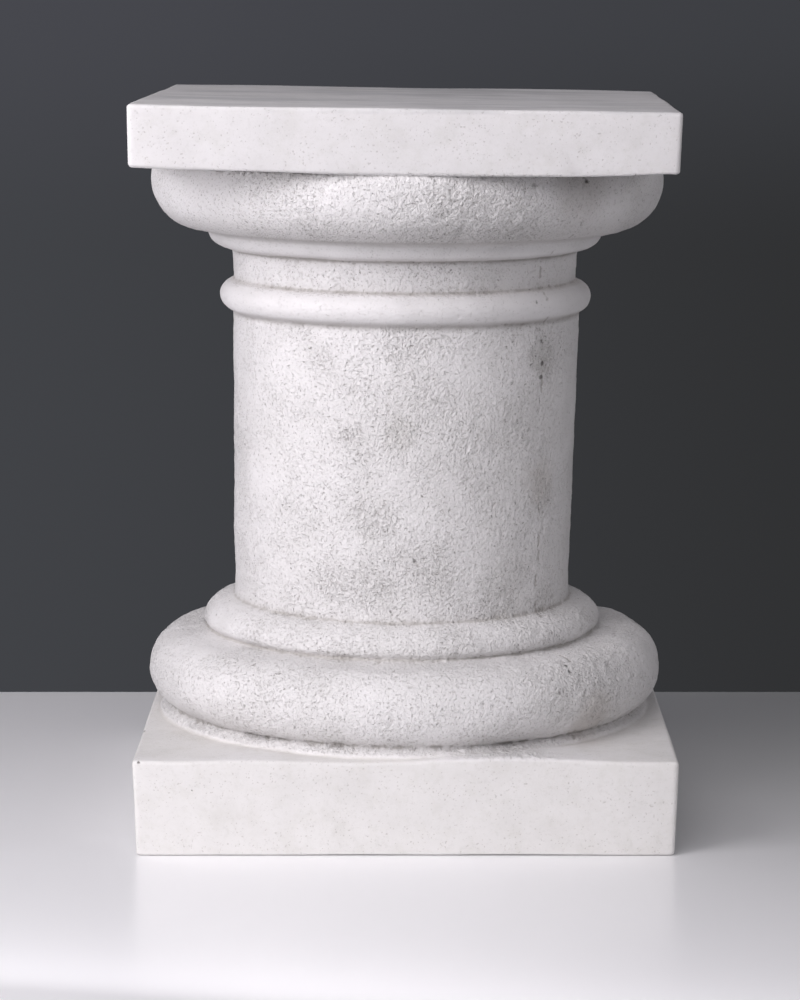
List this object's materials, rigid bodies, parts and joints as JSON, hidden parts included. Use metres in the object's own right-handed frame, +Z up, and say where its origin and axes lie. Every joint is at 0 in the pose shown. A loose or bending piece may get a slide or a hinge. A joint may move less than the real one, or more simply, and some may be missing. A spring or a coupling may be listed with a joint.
{
  "type": "doric column pedestal",
  "caption": "Short round column between a square plinth and a square top slab, cast in one piece in white plaster, for standing a display on.",
  "frame": {"origin": "centre of the flat underside of the square plinth", "axes": "+Z up along the column, -Y out of the front face of the plinth, +X to the right"},
  "size_m": [0.3105, 0.3086, 0.4221],
  "materials": {
    "plaster": "matte"
  },
  "bodies": {
    "root": {"column": "plaster"}
  },
  "joints": []
}
